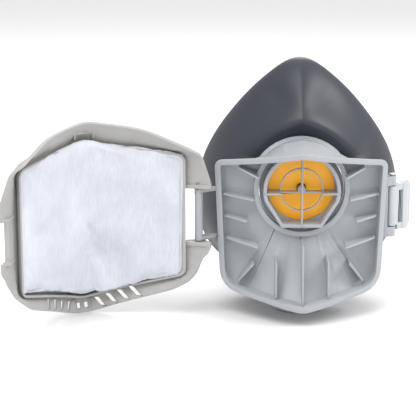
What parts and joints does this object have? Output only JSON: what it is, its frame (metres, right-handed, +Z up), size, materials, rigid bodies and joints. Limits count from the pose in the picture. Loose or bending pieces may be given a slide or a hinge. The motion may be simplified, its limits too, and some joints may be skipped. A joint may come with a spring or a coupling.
{
  "type": "half-mask respirator",
  "caption": "Half-mask respirator with a dark rubber face piece, and a grey filter cover swung open on a side hinge with a white filter pad in it.",
  "frame": {"origin": "centre of the open mask's outline on the floor it stands on", "axes": "+X along the length of the open mask, from the open cover to the face piece; -Y is where the mask's front looks; +Z up"},
  "size_m": [0.2208, 0.111, 0.1411],
  "materials": {
    "grey_plastic": "satin",
    "dark_rubber": "satin",
    "orange_rubber": "satin",
    "stud_plastic": "matte",
    "pad_fleece": "matte",
    "pin_steel": "satin"
  },
  "bodies": {
    "mask": {"face_piece": "dark_rubber", "filter_seat": "grey_plastic", "seat_collar": "grey_plastic", "retaining_ring": "grey_plastic", "inhalation_valve_guard": "grey_plastic", "inhalation_valve_stud": "stud_plastic", "exhalation_valve_seat": "grey_plastic", "exhalation_valve_stud": "orange_rubber", "exhalation_valve_cap": "grey_plastic", "strap_loop_pin": "pin_steel", "cover_hinge_pin": "pin_steel"},
    "cover": {"front_cover": "grey_plastic", "pad_frame": "grey_plastic", "filter_pad": "pad_fleece"},
    "strap_loop": {"right_strap_loop": "grey_plastic"},
    "inhalation_valve": {"inhalation_valve_disc": "orange_rubber"},
    "exhalation_valve": {"exhalation_valve_disc": "orange_rubber"}
  },
  "joints": [
    {"name": "cover_hinge", "type": "hinge", "parent": "mask", "child": "cover", "pos_m": [-0.00884, 0.00551, 0.0566], "axis": [0, 0, 1], "range_deg": [0, 152]},
    {"name": "strap_loop_hinge", "type": "hinge", "parent": "mask", "child": "strap_loop", "pos_m": [0.09846, 0.01551, 0.0598], "axis": [0, 0, 1], "range_deg": [-55, 25]},
    {"name": "inhalation_valve_lift", "type": "slide", "parent": "mask", "child": "inhalation_valve", "axis": [0, 1, 0], "range_m": [0, 0.0015]},
    {"name": "exhalation_valve_lift", "type": "slide", "parent": "mask", "child": "exhalation_valve", "axis": [0, 0, -1], "range_m": [0, 0.001]}
  ]
}
